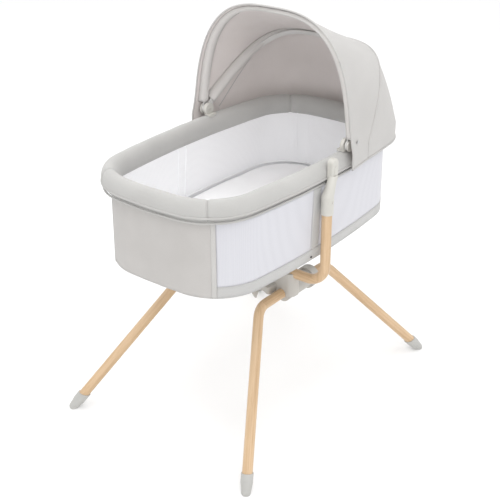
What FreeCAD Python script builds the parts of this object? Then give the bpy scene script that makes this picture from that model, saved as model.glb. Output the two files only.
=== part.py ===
"""Bassinet on a folding stand.

Millimetres. X runs along the basket with the canopy end at +X, Y runs across it, Z is up.
The origin is on the floor, under the middle of the stand. One STEP file per piece.
"""
import FreeCAD, Part

import math
import os

V = FreeCAD.Vector

# Stand
TUBE_R = 14.0            # outer radius of every stand tube
TUBE_WALL = 1.5
BEND_R = 55.0            # centreline radius of every tube bend
U_X = -35.0              # plane of the uprights and the crossbar
U_Y = 267.0              # half distance between the uprights
CROSSBAR_Z = 424.0
UPRIGHT_TOP_Z = 676.0
PIVOT_Y = 139.5          # leg pivot runs, parallel to X
PIVOT_Z = 361.0
KNEE_X = 159.0
FOOT_X = 451.0           # where a leg's centreline meets the floor
FOOT_Y = 319.0
LEG_END_UP = 0.055       # share of the leg left free for the foot cap's tip
FOOT_CAP_R = 16.5
FOOT_CAP_LENGTH = 50.0
FOOT_TIP_R = 12.5
RUNNING_GAP = 0.08       # radial clearance of shafts in bores
FIT_GAP = 0.05           # clearance between pieces pushed together

# Hub housings on the leg pivots
BARREL_R = 26.0
BARREL_X = (-52.0, 59.0)
STEP_R = 32.0
STEP_X = (59.0, 86.0)
SADDLE_HALF_X = 22.0
SADDLE_Y = (84.0, 176.0)
SADDLE_TOP_Z = 427.0
WING_X = (-90.0, -30.0)
WING_Y = (46.0, 122.0)
WING_Z = (364.0, 386.0)
WING_ARCH_R = 34.0
WING_ARCH_Y = 92.0
LEVER_X = (-84.0, -48.0)
LEVER_PIN_Y = 56.0
LEVER_PIN_Z = 358.0
LEVER_PIN_R = 1.5
SCREW_R = 2.2
SCREW_DROP = 19.5        # port screw below the pivot

# Upright sockets
COLLAR_R = 17.0
COLLAR_Z = (632.0, 682.0)
COLLAR_BUTTON_Z = 668.0
COLLAR_BUTTON_R = 3.0
COLLAR_BUTTON_PROUD = 1.5

# Basket brackets
SPIGOT_R = TUBE_R - TUBE_WALL - RUNNING_GAP
SPIGOT_LENGTH = 72.0
SPIGOT_FLAT = 10.2       # flat on the spigot's outer side, clear of the socket button
HEAD_X = -9.0
HEAD_Y = (255.5, 273.0)
HEAD_HALF_WIDTH = 14.0
HEAD_LOW_Z = 712.0
HEAD_TOP_Z = {"near": 779.0, "far": 734.0}     # only the near bracket shows above the rim
BUTTON_Z = (728.0, 760.0)
BUTTON_HALF_WIDTH = 7.0
BUTTON_TRAVEL = 3.0
BUTTON_POCKET_DEPTH = 12.0
BUTTON_DEPTH = 5.0

# Basket outlines: half length, half width, end, side and corner radii
RIM_OUTLINE = (448.0, 254.0, 850.0, 2600.0, 158.0)
SKIRT_TOP = (433.0, 250.0, 1000.0, 2800.0, 152.0)
FLOOR_OUTLINE = (415.0, 241.0, 2000.0, 3000.0, 147.0)
PAD_HALF = 22.0          # half thickness of the padded rim
PAD_Z = (703.0, 765.0)
SEAM_X = 394.0           # where the four lengths of the rim are sewn together
RIM_FRAME_R = 8.0
PIPING_R = 3.0
PIPING_Z = 724.5
SKIRT_TOP_Z = 702.5
SKIRT_WALL = 2.5
BASKET_FLOOR_Z = 499.0
BAND_TOP_Z = 529.0
SNAP_Z = 510.0
STRIP_X = (-66.0, -34.0)  # fabric strip at the uprights, between the mesh windows
FOOT_PANEL_X = -380.0    # the solid foot panel wraps round to here
HEAD_PANEL_X = 352.0
LINING_WALL = 2.0
LINING_TOP_INSET = 40.0
LINING_FLOOR_INSET = 12.0
BOARD_Z = (501.0, 507.0)
MATTRESS_TOP_Z = 548.0
WIRE_R = 2.5

# Canopy
PIVOT_X = 90.0
CANOPY_PIVOT_Z = 780.0
HUB_R = 18.0
HUB_Y = (229.0, 239.0)
PIN_R = 4.0
EYE_R = 13.0
MID_EYE_Y = (242.0, 245.0)
FRONT_EYE_Y = (246.0, 249.0)
CAP_Y = (249.5, 253.0)
BOW_WIDTH = 18.0
FRONT_BOW = (0.0, 322.0, 249.0, 3.0, 0.1)     # tilt, rise, half width, exponent, taper
MID_BOW = (50.0, 314.0, 245.0, 4.0, 0.2)
BOW_THICKNESS = 2.4
HOOD_BASE_Z = 765.0
HOOD_HEM_Z = 722.0
HOOD_OUTLINE = (460.0, 265.0, 780.0, 2600.0, 165.0)
HOOD_WALL = 2.5
FRONT_EDGE_X = 68.0
FRONT_EDGE = (4.0, 350.0, 3.0, 0.1)           # tilt, rise, exponent, taper
MID_CREASE_X = 168.0
MID_CREASE = (40.0, 284.0, 4.2, 0.2)

SIDES = (("near", -1.0), ("far", 1.0))
ENDS = (("foot", -1.0), ("head", 1.0))


def save(name, shape):
    """Write one piece, checked, to its STEP file."""
    if not shape.isValid() or shape.Volume <= 0.0:
        raise ValueError("bad shape: " + name)
    shape.exportStep("parts/%s.step" % name)
    box = shape.BoundBox
    print("%-26s solids %2d  volume %10.0f  x %7.1f %7.1f  y %7.1f %7.1f  z %7.1f %7.1f" % (
        name, len(shape.Solids), shape.Volume, box.XMin, box.XMax, box.YMin, box.YMax, box.ZMin, box.ZMax))


def mirrored(shape, side):
    """The piece made for the +Y side, or its mirror image for the -Y side."""
    if side > 0:
        return shape
    return shape.mirror(V(0, 0, 0), V(0, 1, 0))


def slab(x, y, z):
    """Box between the two values given for each axis."""
    low = V(min(x), min(y), min(z))
    return Part.makeBox(max(x) - low.x, max(y) - low.y, max(z) - low.z, low)


def rod(radius, start, end):
    """Cylinder between two points."""
    axis = end - start
    return Part.makeCylinder(radius, axis.Length, start, axis)


def softened(shape, radius, keep):
    """Round the edges that pass the test."""
    edges = [edge for edge in shape.Edges if keep(edge)]
    return shape.makeFillet(radius, edges) if edges else shape


# ---------------------------------------------------------------- tubes

def bent_path(points, bend):
    """Wire of straight runs joined by tangent arcs."""
    edges = []
    start = points[0]
    for before, corner, after in zip(points, points[1:], points[2:]):
        to_before = (before - corner).normalize()
        to_after = (after - corner).normalize()
        half = to_before.getAngle(to_after) / 2.0
        tangent = bend / math.tan(half)
        first = corner + to_before * tangent
        last = corner + to_after * tangent
        inward = (to_before + to_after).normalize()
        centre = corner + inward * (bend / math.sin(half))
        middle = centre - inward * bend
        edges.append(Part.LineSegment(start, first).toShape())
        edges.append(Part.Arc(first, middle, last).toShape())
        start = last
    edges.append(Part.LineSegment(start, points[-1]).toShape())
    return Part.Wire(edges)


def swept(path, radius, start, direction):
    """Solid of a circle swept along a path."""
    circle = Part.Wire([Part.Circle(start, direction, radius).toShape()])
    return path.makePipeShell([circle], True, False)


def bent_tube(points, bend, radius, wall):
    """Hollow tube along a bent path."""
    path = bent_path(points, bend)
    direction = points[1] - points[0]
    outer = swept(path, radius, points[0], direction)
    inner = swept(path, radius - wall, points[0], direction)
    return outer.cut(inner)


def make_u_frame():
    """Uprights and crossbar, one tube."""
    points = [V(U_X, -U_Y, UPRIGHT_TOP_Z), V(U_X, -U_Y, CROSSBAR_Z),
              V(U_X, U_Y, CROSSBAR_Z), V(U_X, U_Y, UPRIGHT_TOP_Z)]
    frame = bent_tube(points, BEND_R, TUBE_R, TUBE_WALL)
    for _, side in SIDES:
        frame = frame.cut(rod(COLLAR_BUTTON_R + 0.4, V(U_X, side * U_Y, COLLAR_BUTTON_Z),
                              V(U_X, side * (U_Y + TUBE_R + 5), COLLAR_BUTTON_Z)))
    return frame


def foot_point(end, side):
    """Where a leg's centreline meets the floor."""
    return V(end * FOOT_X, side * FOOT_Y, 0)


def knee_point(end, side):
    """Where a leg's centreline meets its pivot run."""
    return V(end * KNEE_X, side * PIVOT_Y, PIVOT_Z)


def leg_end(end, side):
    """Lower end of a leg tube."""
    foot = foot_point(end, side)
    return foot + (knee_point(end, side) - foot) * LEG_END_UP


def make_leg_frame(side):
    """Two splayed legs and the run between them that turns in the hub housing."""
    points = [leg_end(-1, side), knee_point(-1, side), knee_point(1, side), leg_end(1, side)]
    return bent_tube(points, BEND_R, TUBE_R, TUBE_WALL)


def make_foot_cap(end, side):
    """Cap with a sloping mouth and a tapered round tip cut level with the floor."""
    foot = foot_point(end, side)
    up = (knee_point(end, side) - foot).normalize()
    tip = foot + up * FOOT_TIP_R * 0.55
    taper_top = tip + up * 26.0
    cone = Part.makeCone(FOOT_TIP_R, FOOT_CAP_R, 26.0, tip, up)
    ball = Part.makeSphere(FOOT_TIP_R, tip)
    sleeve = rod(FOOT_CAP_R, taper_top, tip + up * (FOOT_CAP_LENGTH + 12.0))
    cap = cone.fuse(ball).fuse(sleeve)
    mouth = tip + up * FOOT_CAP_LENGTH
    slope = (up + V(end * 0.35, side * 0.2, 0)).normalize()
    cutter = Part.makeBox(120, 120, 60, V(-60, -60, 0))
    cutter.Placement = FreeCAD.Placement(mouth, FreeCAD.Rotation(V(0, 0, 1), slope))
    cap = cap.cut(cutter)
    cap = cap.cut(slab((-600, 600), (-600, 600), (-60, 0)))
    tube_end = leg_end(end, side)
    return cap.cut(rod(TUBE_R + FIT_GAP, tube_end, tube_end + up * 120.0))


# ---------------------------------------------------------------- hub housings

def make_hub_housing():
    """Barrel on the pivot run, saddle under the crossbar and a wing for the lever."""
    start = V(BARREL_X[0], PIVOT_Y, PIVOT_Z)
    end = V(BARREL_X[1], PIVOT_Y, PIVOT_Z)
    barrel = rod(BARREL_R, start, end)
    saddle_x = (U_X - SADDLE_HALF_X, U_X + SADDLE_HALF_X)
    saddle = slab(saddle_x, SADDLE_Y, (PIVOT_Z - 4, SADDLE_TOP_Z))
    saddle = softened(saddle, 18.0, lambda edge: edge.BoundBox.ZLength > 20)
    wing = slab(WING_X, WING_Y, WING_Z)
    wing = softened(wing, 8.0, lambda edge: edge.BoundBox.ZLength > 15)
    arch = rod(WING_ARCH_R, V(WING_X[0] - 1, WING_ARCH_Y, WING_Z[0] - 27),
               V(WING_X[1] + 1, WING_ARCH_Y, WING_Z[0] - 27))
    wing = wing.cut(arch)
    ears = slab((WING_X[0], LEVER_X[1] + 6), (WING_Y[0] + 2, WING_Y[0] + 14), (LEVER_PIN_Z - 5, WING_Z[0] + 4))
    ears = softened(ears, 4.0, lambda edge: edge.BoundBox.XLength > 20 and edge.BoundBox.ZMax < WING_Z[0])
    gap = slab((LEVER_X[0] - 0.5, LEVER_X[1] + 0.5), (WING_Y[0] - 1, WING_Y[0] + 17),
               (LEVER_PIN_Z - 6, WING_Z[0] + 1))
    cuts = [rod(TUBE_R + RUNNING_GAP, start - V(40, 0, 0), end + V(60, 0, 0)),
            rod(TUBE_R + FIT_GAP, V(U_X, 0, CROSSBAR_Z), V(U_X, 215, CROSSBAR_Z))]
    housing = barrel.fuse([saddle, wing]).cut(cuts[0]).cut(cuts[1]).fuse(ears).cut(gap)
    housing = housing.cut(rod(LEVER_PIN_R + FIT_GAP, V(WING_X[0] - 1, LEVER_PIN_Y, LEVER_PIN_Z),
                              V(WING_X[1] + 1, LEVER_PIN_Y, LEVER_PIN_Z)))
    for screw in housing_screw_shapes(0.05).Solids:
        housing = housing.cut(screw)
    return housing


def housing_screw_shapes(gap):
    """Screws of one housing: one in the front port, two up into the crossbar."""
    port = rod(SCREW_R + gap, V(BARREL_X[0] - 0.6 - gap, PIVOT_Y - 5, PIVOT_Z - SCREW_DROP),
               V(BARREL_X[0] + 14, PIVOT_Y - 5, PIVOT_Z - SCREW_DROP))
    screws = [port]
    for y in (SADDLE_Y[0] + 9, SADDLE_Y[0] + 28):
        screws.append(rod(SCREW_R + gap, V(U_X, y, PIVOT_Z - 4 - gap), V(U_X, y, CROSSBAR_Z - TUBE_R - 0.2)))
    return Part.makeCompound(screws)


def make_hub_collar():
    """Stepped collar on the housing's rear end."""
    start = V(STEP_X[0], PIVOT_Y, PIVOT_Z)
    end = V(STEP_X[1], PIVOT_Y, PIVOT_Z)
    collar = rod(STEP_R, start, end)
    collar = softened(collar, 2.0, lambda edge: edge.BoundBox.XMin > STEP_X[1] - 0.1)
    collar = collar.cut(rod(TUBE_R + RUNNING_GAP, start - V(1, 0, 0), end + V(1, 0, 0)))
    channel = rod(TUBE_R + FIT_GAP, V(U_X, 0, CROSSBAR_Z), V(U_X, 215, CROSSBAR_Z))
    return collar.cut(channel)


def make_fold_lever():
    """Hanging paddle with a V foot, turning on its pin."""
    low = LEVER_PIN_Z - 35.0
    middle = (LEVER_X[0] + LEVER_X[1]) / 2.0
    outline = Part.makePolygon([
        V(LEVER_X[0], 0, WING_Z[0] - 1.5), V(LEVER_X[1], 0, WING_Z[0] - 1.5), V(LEVER_X[1], 0, LEVER_PIN_Z - 8),
        V(middle + 2, 0, low), V(middle - 2, 0, low), V(LEVER_X[0], 0, LEVER_PIN_Z - 8),
        V(LEVER_X[0], 0, WING_Z[0] - 1.5)])
    blade = Part.Face(outline).extrude(V(0, 7, 0))
    blade.translate(V(0, LEVER_PIN_Y - 3.5, 0))
    blade = softened(blade, 1.5, lambda edge: edge.BoundBox.ZMax < LEVER_PIN_Z - 7)
    round_top = rod(5.0, V(LEVER_X[0], LEVER_PIN_Y, LEVER_PIN_Z), V(LEVER_X[1], LEVER_PIN_Y, LEVER_PIN_Z))
    head_room = slab((LEVER_X[0] - 1, LEVER_X[1] + 1), (LEVER_PIN_Y - 9, LEVER_PIN_Y + 9),
                     (LEVER_PIN_Z, WING_Z[0] + 1))
    lever = blade.cut(head_room).fuse(round_top)
    bore = rod(LEVER_PIN_R + RUNNING_GAP, V(LEVER_X[0] - 1, LEVER_PIN_Y, LEVER_PIN_Z),
               V(LEVER_X[1] + 1, LEVER_PIN_Y, LEVER_PIN_Z))
    return lever.cut(bore)


def make_lever_pins():
    """The two levers' hinge pins."""
    start = V(LEVER_X[0] - 2.5, LEVER_PIN_Y, LEVER_PIN_Z)
    end = V(LEVER_X[1] + 12.0, LEVER_PIN_Y, LEVER_PIN_Z)
    pin = rod(LEVER_PIN_R, start, end)
    return Part.makeCompound([mirrored(pin, side) for _, side in SIDES])


# ---------------------------------------------------------------- upright sockets

def make_upright_collar():
    """Socket on an upright's top end."""
    base = V(U_X, U_Y, COLLAR_Z[0])
    collar = rod(COLLAR_R, base, V(U_X, U_Y, COLLAR_Z[1]))
    collar = softened(collar, 1.2, lambda edge: edge.BoundBox.ZLength < 0.1)
    collar = collar.cut(rod(TUBE_R + FIT_GAP, base - V(0, 0, 1), V(U_X, U_Y, UPRIGHT_TOP_Z)))
    collar = collar.cut(rod(TUBE_R - TUBE_WALL, base, V(U_X, U_Y, COLLAR_Z[1] + 1)))
    return collar.cut(rod(COLLAR_BUTTON_R + 0.3, V(U_X, U_Y, COLLAR_BUTTON_Z),
                          V(U_X, U_Y + COLLAR_R + 1, COLLAR_BUTTON_Z)))


def make_collar_button():
    """Small domed button through the socket's wall."""
    inner = U_Y + TUBE_R - TUBE_WALL + 0.25
    outer = U_Y + COLLAR_R + COLLAR_BUTTON_PROUD
    button = rod(COLLAR_BUTTON_R, V(U_X, inner, COLLAR_BUTTON_Z), V(U_X, outer, COLLAR_BUTTON_Z))
    return softened(button, 1.0, lambda edge: edge.BoundBox.YMin > outer - 0.1)


# ---------------------------------------------------------------- brackets and buttons

def make_bracket_spigot(gap):
    """Flat-sided spigot that stands in the socket and is pinned up into the bracket."""
    low = COLLAR_Z[1] - SPIGOT_LENGTH
    spigot = rod(SPIGOT_R + gap, V(U_X, U_Y, low), V(U_X, U_Y, COLLAR_Z[1] + 9 + gap))
    return spigot.cut(slab((U_X - 20, U_X + 20), (U_Y + SPIGOT_FLAT + gap, U_Y + 20), (low - 1, COLLAR_Z[1] + 12)))


def rim_boss(side_name, gap):
    """Boss from the bracket head to the rim tube, or a pin into the padding on the far side."""
    radius, z, reach = BOSSES[side_name]
    return rod(radius + gap, V(HEAD_X, rim_frame_y() + reach, z), V(HEAD_X, HEAD_Y[0] + 2 + 2 * gap, z))


def make_mount_bracket(side_name):
    """Arm from the socket up beside the rim, bossed on to the rim tube."""
    foot_circle = Part.Wire([Part.Circle(V(U_X, U_Y, COLLAR_Z[1]), V(0, 0, 1), COLLAR_R - 0.3).toShape()])
    neck_circle = Part.Wire([Part.Circle(V(U_X + 9, U_Y + 1.5, 706), V(0, 0, 1), 13.8).toShape()])
    head_circle = Part.Wire([Part.Circle(V(HEAD_X - 3, U_Y - 0.5, 734), V(0, 0, 1), 11.6).toShape()])
    arm = Part.makeLoft([foot_circle, neck_circle, head_circle], True, False)
    head_x = (HEAD_X - HEAD_HALF_WIDTH, HEAD_X + HEAD_HALF_WIDTH)
    top = HEAD_TOP_Z[side_name]
    head = slab(head_x, HEAD_Y, (HEAD_LOW_Z, top))
    head = softened(head, min(12.0, (top - HEAD_LOW_Z) / 2 - 1), lambda edge: edge.BoundBox.YLength > 15)
    head = softened(head, 5.0, lambda edge: edge.BoundBox.YMin > HEAD_Y[1] - 0.1)
    bracket = arm.fuse([head, rim_boss(side_name, 0.0)]).cut(make_bracket_spigot(FIT_GAP))
    bracket = bracket.cut(rim_frame_shape(FIT_GAP))
    bracket = bracket.cut(hoop(piping_line(), PIPING_Z, PIPING_R + 0.1))
    if side_name == "far":
        return bracket
    pocket = oval_prism(BUTTON_HALF_WIDTH + 0.3, BUTTON_Z[0] - 0.3, BUTTON_Z[1] + 0.3,
                        HEAD_Y[1] - BUTTON_POCKET_DEPTH, HEAD_Y[1] + 2)
    return bracket.cut(pocket)


def oval_prism(half_width, low, high, start, end):
    """Upright oval at the bracket head, extruded along Y."""
    bottom = V(HEAD_X, start, low + half_width)
    top = V(HEAD_X, start, high - half_width)
    length = V(0, end - start, 0)
    shape = rod(half_width, bottom, bottom + length).fuse(rod(half_width, top, top + length))
    return shape.fuse(slab((HEAD_X - half_width, HEAD_X + half_width), (start, end), (bottom.z, top.z)))


def make_release_button():
    """Oval push button, hollow behind for its spring."""
    front = HEAD_Y[1] + 0.8
    back = HEAD_Y[1] - BUTTON_DEPTH
    button = oval_prism(BUTTON_HALF_WIDTH, BUTTON_Z[0], BUTTON_Z[1], back, front)
    button = softened(button, 0.7, lambda edge: edge.BoundBox.YMin > front - 0.1)
    middle = (BUTTON_Z[0] + BUTTON_Z[1]) / 2.0
    return button.cut(rod(4.0, V(HEAD_X, back - 1, middle), V(HEAD_X, back + 3.0, middle)))


def make_button_spring():
    """Rubber spring sleeve behind the release button, at its pressed length."""
    middle = (BUTTON_Z[0] + BUTTON_Z[1]) / 2.0
    low = HEAD_Y[1] - BUTTON_POCKET_DEPTH
    start = V(HEAD_X, low, middle)
    end = V(HEAD_X, HEAD_Y[1] - BUTTON_DEPTH + 2.8 - BUTTON_TRAVEL, middle)
    return rod(3.4, start, end).cut(rod(2.2, start - V(0, 1, 0), end + V(0, 1, 0)))


# ---------------------------------------------------------------- basket outlines

def inset(outline, amount):
    """The outline moved inward, or outward for a negative amount."""
    return tuple(value - amount for value in outline)


def corner_centre(outline):
    """Centre of the +X +Y corner arc, tangent to the end and side arcs."""
    length, width, end_r, side_r, corner_r = outline
    end_centre = V(length - end_r, 0, 0)
    side_centre = V(0, width - side_r, 0)
    r_end = end_r - corner_r
    r_side = side_r - corner_r
    across = side_centre - end_centre
    gap = across.Length
    along = (r_end ** 2 - r_side ** 2 + gap ** 2) / (2.0 * gap)
    height = math.sqrt(r_end ** 2 - along ** 2)
    unit = across / gap
    foot = end_centre + unit * along
    first = foot + V(-unit.y, unit.x, 0) * height
    second = foot - V(-unit.y, unit.x, 0) * height
    return first if first.x + first.y > second.x + second.y else second


def outline_wire(outline, z):
    """Closed wire of eight tangent arcs."""
    length, width, end_r, side_r, corner_r = outline
    corner = corner_centre(outline)
    end_centre = V(length - end_r, 0, 0)
    side_centre = V(0, width - side_r, 0)
    end_joint = corner + (corner - end_centre).normalize() * corner_r
    side_joint = corner + (corner - side_centre).normalize() * corner_r
    bisector = ((end_joint - corner).normalize() + (side_joint - corner).normalize()).normalize()
    corner_mid = corner + bisector * corner_r

    def at(point, sx, sy):
        return V(point.x * sx, point.y * sy, z)

    edges = [Part.Arc(at(end_joint, 1, -1), V(length, 0, z), at(end_joint, 1, 1)).toShape(),
             Part.Arc(at(end_joint, 1, 1), at(corner_mid, 1, 1), at(side_joint, 1, 1)).toShape(),
             Part.Arc(at(side_joint, 1, 1), V(0, width, z), at(side_joint, -1, 1)).toShape(),
             Part.Arc(at(side_joint, -1, 1), at(corner_mid, -1, 1), at(end_joint, -1, 1)).toShape(),
             Part.Arc(at(end_joint, -1, 1), V(-length, 0, z), at(end_joint, -1, -1)).toShape(),
             Part.Arc(at(end_joint, -1, -1), at(corner_mid, -1, -1), at(side_joint, -1, -1)).toShape(),
             Part.Arc(at(side_joint, -1, -1), V(0, -width, z), at(side_joint, 1, -1)).toShape(),
             Part.Arc(at(side_joint, 1, -1), at(corner_mid, 1, -1), at(end_joint, 1, -1)).toShape()]
    return Part.Wire(edges)


def outline_half_width(outline, x):
    """Half width of the outline on its side arc."""
    side_r = outline[3]
    return outline[1] - side_r + math.sqrt(side_r ** 2 - x ** 2)


def plate(outline, low, high):
    """Flat plate of the outline's shape."""
    return Part.Face(outline_wire(outline, low)).extrude(V(0, 0, high - low))


def funnel(low_outline, low, high_outline, high):
    """Solid between a low and a high outline."""
    return Part.makeLoft([outline_wire(low_outline, low), outline_wire(high_outline, high)], True, True)


def blended(low_outline, low, high_outline, high, z):
    """Outline part of the way up a funnel."""
    share = (z - low) / (high - low)
    return tuple(a + (b - a) * share for a, b in zip(low_outline, high_outline))


def hoop(outline, z, radius):
    """Round rod along an outline."""
    path = outline_wire(outline, z)
    return swept(path, radius, V(outline[0], 0, z), V(0, 1, 0))


# ---------------------------------------------------------------- basket pieces

PAD_LINE = inset(RIM_OUTLINE, PAD_HALF)


def rim_frame_y():
    """Distance of the rim tube from the middle, at the brackets."""
    return outline_half_width(PAD_LINE, HEAD_X)


def rim_frame_z():
    """Height of the rim tube."""
    return PAD_Z[1] - PAD_HALF


BOSSES = {"near": (7.0, rim_frame_z(), RIM_FRAME_R - 3), "far": (3.0, rim_frame_z() - 12.0, 9.0)}


def rim_frame_shape(gap):
    """Rim tube's outside, grown by a gap."""
    return hoop(PAD_LINE, rim_frame_z(), RIM_FRAME_R + gap)


def make_rim_frame():
    """Aluminium tube inside the padded rim."""
    return rim_frame_shape(0.0).cut(hoop(PAD_LINE, rim_frame_z(), RIM_FRAME_R - 1.2))


def make_rim_pad():
    """Whole padded rim: flat sides, round top, small round lower edges."""
    outer = RIM_OUTLINE[0]
    inner = outer - 2 * PAD_HALF
    shoulder = PAD_Z[1] - PAD_HALF
    foot = PAD_Z[0] + 6.0
    middle = outer - PAD_HALF
    cut = 6.0 * (1 - math.sqrt(0.5))
    edges = [Part.LineSegment(V(outer, 0, foot), V(outer, 0, shoulder)),
             Part.Arc(V(outer, 0, shoulder), V(middle, 0, PAD_Z[1]), V(inner, 0, shoulder)),
             Part.LineSegment(V(inner, 0, shoulder), V(inner, 0, foot)),
             Part.Arc(V(inner, 0, foot), V(inner + cut, 0, PAD_Z[0] + cut), V(inner + 6, 0, PAD_Z[0])),
             Part.LineSegment(V(inner + 6, 0, PAD_Z[0]), V(outer - 6, 0, PAD_Z[0])),
             Part.Arc(V(outer - 6, 0, PAD_Z[0]), V(outer - cut, 0, PAD_Z[0] + cut), V(outer, 0, foot))]
    section = Part.Wire([edge.toShape() for edge in edges])
    pad = outline_wire(PAD_LINE, shoulder).makePipeShell([section], True, False)
    pad = pad.cut(rim_frame_shape(FIT_GAP))
    for side_name, side in SIDES:
        pad = pad.cut(mirrored(rim_boss(side_name, FIT_GAP), side))
    return pad.cut(hoop(piping_line(), PIPING_Z, PIPING_R + 0.02))


def piping_line():
    """Outline of the piping on the pad's lower outer edge."""
    return inset(RIM_OUTLINE, 1.0)


def make_skirt():
    """Skirt wall from the basket's floor to the rim."""
    outer = funnel(FLOOR_OUTLINE, BASKET_FLOOR_Z, SKIRT_TOP, SKIRT_TOP_Z)
    inner = funnel(inset(FLOOR_OUTLINE, SKIRT_WALL), BASKET_FLOOR_Z, inset(SKIRT_TOP, SKIRT_WALL), SKIRT_TOP_Z)
    return outer.cut(inner)


def make_lining():
    """White inner wall."""
    low = inset(FLOOR_OUTLINE, LINING_FLOOR_INSET)
    high = inset(RIM_OUTLINE, LINING_TOP_INSET)
    outer = funnel(low, BOARD_Z[1], high, SKIRT_TOP_Z)
    inner = funnel(inset(low, LINING_WALL), BOARD_Z[1], inset(high, LINING_WALL), SKIRT_TOP_Z)
    return outer.cut(inner)


def make_band_snaps():
    """Dark snaps on the bottom band beside the uprights."""
    snaps = []
    for _, side in SIDES:
        outline = blended(FLOOR_OUTLINE, BASKET_FLOOR_Z, SKIRT_TOP, SKIRT_TOP_Z, SNAP_Z)
        y = outline_half_width(outline, STRIP_X[0])
        snaps.append(rod(3.2, V(STRIP_X[0], side * (y + 0.25), SNAP_Z), V(STRIP_X[0], side * (y + 2.2), SNAP_Z)))
    return Part.makeCompound(snaps)


# ---------------------------------------------------------------- canopy

def arch_points(base, tilt, rise, half_width, exponent, taper, count=24):
    """Points of a rounded arch in a plane tilted back from the vertical."""
    lean = math.radians(tilt)
    points = []
    for index in range(count + 1):
        turn = math.pi * index / count
        sine = math.sin(turn) if 0 < index < count else 0.0
        up = rise * sine ** (2.0 / exponent)
        cos = math.cos(turn)
        across = half_width * math.copysign(abs(cos) ** (2.0 / exponent), cos) * (1 - taper * up / rise)
        points.append(V(base.x + up * math.sin(lean), across, base.z + up * math.cos(lean)))
    return points


def spline(points):
    """Smooth edge through points."""
    curve = Part.BSplineCurve()
    curve.interpolate(points)
    return curve.toShape()


def arch_face(points):
    """Flat D-shaped face under an arch."""
    return Part.Face(Part.Wire([spline(points), Part.LineSegment(points[-1], points[0]).toShape()]))


def make_bow(bow, eye_y):
    """Flat strip bow with an eye at each pivot."""
    tilt, rise, half_width, exponent, taper = bow
    base = V(PIVOT_X, 0, CANOPY_PIVOT_Z)
    lean = math.radians(tilt)
    across = V(math.cos(lean), 0, -math.sin(lean))
    outer = arch_face(arch_points(base, tilt, rise, half_width, exponent, taper))
    inner = arch_face(arch_points(base, tilt, rise - BOW_THICKNESS, half_width - BOW_THICKNESS, exponent, taper))
    strip = outer.extrude(across * BOW_WIDTH).cut(inner.extrude(across * BOW_WIDTH))
    strip.translate(across * (-BOW_WIDTH / 2.0))
    for _, side in SIDES:
        eye = rod(EYE_R, V(PIVOT_X, side * eye_y[0], CANOPY_PIVOT_Z), V(PIVOT_X, side * eye_y[1], CANOPY_PIVOT_Z))
        strip = strip.fuse(eye)
    low = V(PIVOT_X, -260, CANOPY_PIVOT_Z)
    return strip.cut(rod(PIN_R + RUNNING_GAP, low, low + V(0, 520, 0)))


def make_canopy_hub(pad):
    """Round pivot boss on a clamp that sits over the rim."""
    boss = rod(HUB_R, V(PIVOT_X, HUB_Y[0], CANOPY_PIVOT_Z), V(PIVOT_X, HUB_Y[1], CANOPY_PIVOT_Z))
    boss = softened(boss, 2.0, lambda edge: edge.BoundBox.YMax < HUB_Y[0] + 0.1)
    slot = slab((PIVOT_X - 5, PIVOT_X + 5), (HUB_Y[0] - 1, HUB_Y[0] + 1.5),
                (CANOPY_PIVOT_Z - 1.2, CANOPY_PIVOT_Z + 1.2))
    base = slab((PIVOT_X - 15, PIVOT_X + 15), (HUB_Y[0] - 12, HUB_Y[1]), (754, 768))
    base = softened(base, 4.0, lambda edge: edge.BoundBox.ZLength > 10)
    hub = boss.fuse(base).cut(slot)
    pin_end = V(PIVOT_X, CAP_Y[1], CANOPY_PIVOT_Z)
    hub = hub.cut(rod(PIN_R + FIT_GAP, V(PIVOT_X, HUB_Y[0] + 3, CANOPY_PIVOT_Z), pin_end))
    return hub.cut(pad)


def make_canopy_pins():
    """Pins that the bows' eyes turn on."""
    pin = rod(PIN_R, V(PIVOT_X, HUB_Y[0] + 3, CANOPY_PIVOT_Z), V(PIVOT_X, CAP_Y[1] - 1.5, CANOPY_PIVOT_Z))
    return Part.makeCompound([mirrored(pin, side) for _, side in SIDES])


def make_hub_caps():
    """Caps over the pins' outer ends."""
    cap = rod(HUB_R - 2, V(PIVOT_X, CAP_Y[0], CANOPY_PIVOT_Z), V(PIVOT_X, CAP_Y[1], CANOPY_PIVOT_Z))
    cap = cap.cut(rod(PIN_R + FIT_GAP, V(PIVOT_X, CAP_Y[0] - 1, CANOPY_PIVOT_Z),
                      V(PIVOT_X, CAP_Y[1] - 1.5, CANOPY_PIVOT_Z)))
    return Part.makeCompound([mirrored(cap, side) for _, side in SIDES])


def front_section(wall):
    """Arch points of the hood's front edge, moved in by the wall."""
    tilt, rise, exponent, taper = FRONT_EDGE
    width = outline_half_width(HOOD_OUTLINE, FRONT_EDGE_X) - wall
    return arch_points(V(FRONT_EDGE_X, 0, HOOD_BASE_Z), tilt, rise - wall, width, exponent, taper)


def mid_section(wall):
    """Arch points of the hood's crease over the middle bow."""
    tilt, rise, exponent, taper = MID_CREASE
    width = outline_half_width(HOOD_OUTLINE, MID_CREASE_X) - wall
    return arch_points(V(MID_CREASE_X, 0, HOOD_BASE_Z), tilt, rise - wall, width, exponent, taper)


def hem_points(wall, count=24):
    """Half outline round the head end at the hood's base, from +Y to -Y."""
    wire = outline_wire(inset(HOOD_OUTLINE, wall), HOOD_BASE_Z)
    keep = Part.makeBox(900, 900, 2, V(MID_CREASE_X, -450, HOOD_BASE_Z - 1))
    pieces = Part.Wire(Part.__sortEdges__(wire.common(keep).Edges))
    points = pieces.discretize(Number=count + 1)
    if points[0].y < points[-1].y:
        points.reverse()
    return points


def front_hood(wall):
    """Solid under the hood's front panel."""
    wires = [arch_face(section(wall)).OuterWire for section in (front_section, mid_section)]
    return Part.makeLoft(wires, True, True)


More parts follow.
